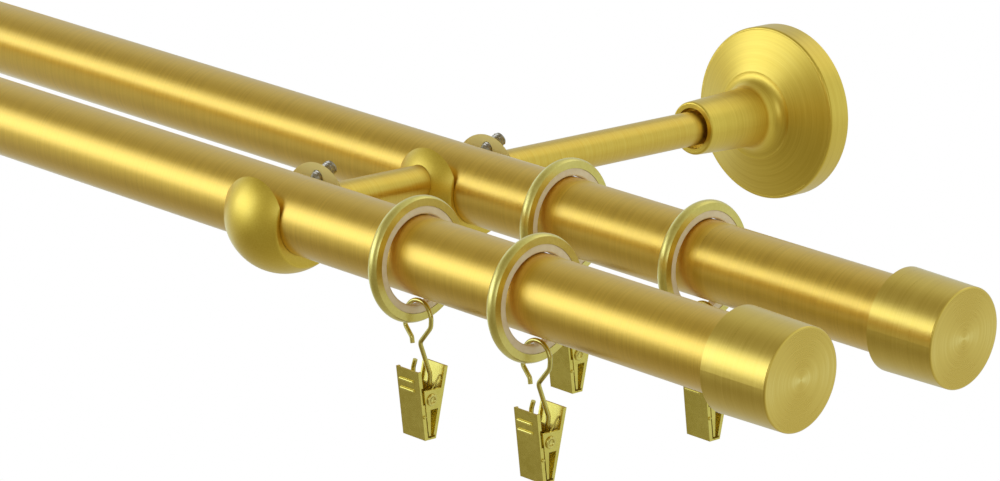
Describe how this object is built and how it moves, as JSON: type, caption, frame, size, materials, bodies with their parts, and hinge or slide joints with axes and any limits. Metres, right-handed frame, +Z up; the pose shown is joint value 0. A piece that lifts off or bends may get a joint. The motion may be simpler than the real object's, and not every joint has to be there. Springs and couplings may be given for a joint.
{
  "type": "double curtain pole",
  "caption": "Curtain pole set for a wall: front and rear tubes in ball-shaped open holders on rod arms and turned roses, with end caps, lined rings, wire hooks and spring clips.",
  "frame": {"origin": "centre of the right rose on the wall face, on the rear arm's axis", "axes": "+X along the poles to the right end, +Y into the wall, +Z up"},
  "size_m": [0.668, 0.2117, 0.0711],
  "materials": {
    "pole_brass": "brushed round the tube, clear lacquer",
    "cap_brass": "fine-turned, clear lacquer",
    "rose_brass": "satin, clear lacquer",
    "arm_brass": "fine-turned, clear lacquer",
    "holder_brass": "satin with fine mill marks, clear lacquer",
    "ring_brass": "satin, a paler and greener brass",
    "hook_brass": "bright-plated wire",
    "jaw_brass": "plated spring sheet",
    "liner_plastic": "moulded, pale beige",
    "screw_steel": "bright zinc plate",
    "disc_steel": "zinc plate",
    "pin_steel": "bright nickel plate"
  },
  "bodies": {
    "frame": {"front_pole": "pole_brass", "front_cap_right": "cap_brass", "front_cap_left": "cap_brass", "rear_pole": "pole_brass", "rear_cap_right": "cap_brass", "rear_cap_left": "cap_brass", "rose_right": "rose_brass", "wall_disc_right": "disc_steel", "arm_nut_right": "disc_steel", "lock_screw_right": "screw_steel", "rear_arm_right": "arm_brass", "rear_holder_right": "holder_brass", "rear_clamp_screw_right": "screw_steel", "front_arm_right": "arm_brass", "front_holder_right": "holder_brass", "front_clamp_screw_right": "screw_steel", "rose_left": "rose_brass", "wall_disc_left": "disc_steel", "arm_nut_left": "disc_steel", "lock_screw_left": "screw_steel", "rear_arm_left": "arm_brass", "rear_holder_left": "holder_brass", "rear_clamp_screw_left": "screw_steel", "front_arm_left": "arm_brass", "front_holder_left": "holder_brass", "front_clamp_screw_left": "screw_steel"},
    "glider_front_1": {"ring_front_1": "ring_brass", "liner_front_1": "liner_plastic"},
    "hanger_front_1": {"hook_front_1": "hook_brass"},
    "clip_front_1": {"clip_back_jaw_front_1": "jaw_brass", "clip_pin_front_1": "pin_steel", "clip_spring_front_1": "pin_steel"},
    "jaw_front_1": {"clip_front_jaw_front_1": "jaw_brass"},
    "glider_front_2": {"ring_front_2": "ring_brass", "liner_front_2": "liner_plastic"},
    "hanger_front_2": {"hook_front_2": "hook_brass"},
    "clip_front_2": {"clip_back_jaw_front_2": "jaw_brass", "clip_pin_front_2": "pin_steel", "clip_spring_front_2": "pin_steel"},
    "jaw_front_2": {"clip_front_jaw_front_2": "jaw_brass"},
    "glider_rear_1": {"ring_rear_1": "ring_brass", "liner_rear_1": "liner_plastic"},
    "hanger_rear_1": {"hook_rear_1": "hook_brass"},
    "clip_rear_1": {"clip_back_jaw_rear_1": "jaw_brass", "clip_pin_rear_1": "pin_steel", "clip_spring_rear_1": "pin_steel"},
    "jaw_rear_1": {"clip_front_jaw_rear_1": "jaw_brass"},
    "glider_rear_2": {"ring_rear_2": "ring_brass", "liner_rear_2": "liner_plastic"},
    "hanger_rear_2": {"hook_rear_2": "hook_brass"},
    "clip_rear_2": {"clip_back_jaw_rear_2": "jaw_brass", "clip_pin_rear_2": "pin_steel", "clip_spring_rear_2": "pin_steel"},
    "jaw_rear_2": {"clip_front_jaw_rear_2": "jaw_brass"}
  },
  "joints": [
    {"name": "ring_slide_front_1", "type": "slide", "parent": "frame", "child": "glider_front_1", "axis": [1, 0, 0], "range_m": [-0.034, 0.007]},
    {"name": "hook_swing_front_1", "type": "hinge", "parent": "glider_front_1", "child": "hanger_front_1", "pos_m": [0.0505, -0.1956, -0.01392], "axis": [0, 1, 0], "range_deg": [-12, 12]},
    {"name": "clip_swing_front_1", "type": "hinge", "parent": "hanger_front_1", "child": "clip_front_1", "pos_m": [0.0528, -0.1956, -0.03424], "axis": [1, 0, 0], "range_deg": [-5, 5]},
    {"name": "jaw_open_front_1", "type": "hinge", "parent": "clip_front_1", "child": "jaw_front_1", "pos_m": [0.0528, -0.1956, -0.03424], "axis": [-1, 0, 0], "range_deg": [0, 10], "stiffness_Nm_per_rad": 0.05, "springref_deg": -14.32, "deforming": ["clip_spring_front_1"]},
    {"name": "ring_slide_front_2", "type": "slide", "parent": "frame", "child": "glider_front_2", "axis": [1, 0, 0], "range_m": [-0.007, 0.056]},
    {"name": "hook_swing_front_2", "type": "hinge", "parent": "glider_front_2", "child": "hanger_front_2", "pos_m": [0.0912, -0.1956, -0.01392], "axis": [0, 1, 0], "range_deg": [-12, 12]},
    {"name": "clip_swing_front_2", "type": "hinge", "parent": "hanger_front_2", "child": "clip_front_2", "pos_m": [0.0935, -0.1956, -0.03424], "axis": [1, 0, 0], "range_deg": [-5, 5]},
    {"name": "jaw_open_front_2", "type": "hinge", "parent": "clip_front_2", "child": "jaw_front_2", "pos_m": [0.0935, -0.1956, -0.03424], "axis": [-1, 0, 0], "range_deg": [0, 10], "stiffness_Nm_per_rad": 0.05, "springref_deg": -14.32, "deforming": ["clip_spring_front_2"]},
    {"name": "ring_slide_rear_1", "type": "slide", "parent": "frame", "child": "glider_rear_1", "axis": [1, 0, 0], "range_m": [-0.026, 0.008]},
    {"name": "hook_swing_rear_1", "type": "hinge", "parent": "glider_rear_1", "child": "hanger_rear_1", "pos_m": [0.0423, -0.133, -0.01572], "axis": [0, 1, 0], "range_deg": [-12, 12]},
    {"name": "clip_swing_rear_1", "type": "hinge", "parent": "hanger_rear_1", "child": "clip_rear_1", "pos_m": [0.0446, -0.133, -0.03604], "axis": [1, 0, 0], "range_deg": [-5, 5]},
    {"name": "jaw_open_rear_1", "type": "hinge", "parent": "clip_rear_1", "child": "jaw_rear_1", "pos_m": [0.0446, -0.133, -0.03604], "axis": [-1, 0, 0], "range_deg": [0, 10], "stiffness_Nm_per_rad": 0.05, "springref_deg": -14.32, "deforming": ["clip_spring_rear_1"]},
    {"name": "ring_slide_rear_2", "type": "slide", "parent": "frame", "child": "glider_rear_2", "axis": [1, 0, 0], "range_m": [-0.008, 0.054]},
    {"name": "hook_swing_rear_2", "type": "hinge", "parent": "glider_rear_2", "child": "hanger_rear_2", "pos_m": [0.0901, -0.133, -0.01572], "axis": [0, 1, 0], "range_deg": [-12, 12]},
    {"name": "clip_swing_rear_2", "type": "hinge", "parent": "hanger_rear_2", "child": "clip_rear_2", "pos_m": [0.0924, -0.133, -0.03604], "axis": [1, 0, 0], "range_deg": [-5, 5]},
    {"name": "jaw_open_rear_2", "type": "hinge", "parent": "clip_rear_2", "child": "jaw_rear_2", "pos_m": [0.0924, -0.133, -0.03604], "axis": [-1, 0, 0], "range_deg": [0, 10], "stiffness_Nm_per_rad": 0.05, "springref_deg": -14.32, "deforming": ["clip_spring_rear_2"]}
  ]
}
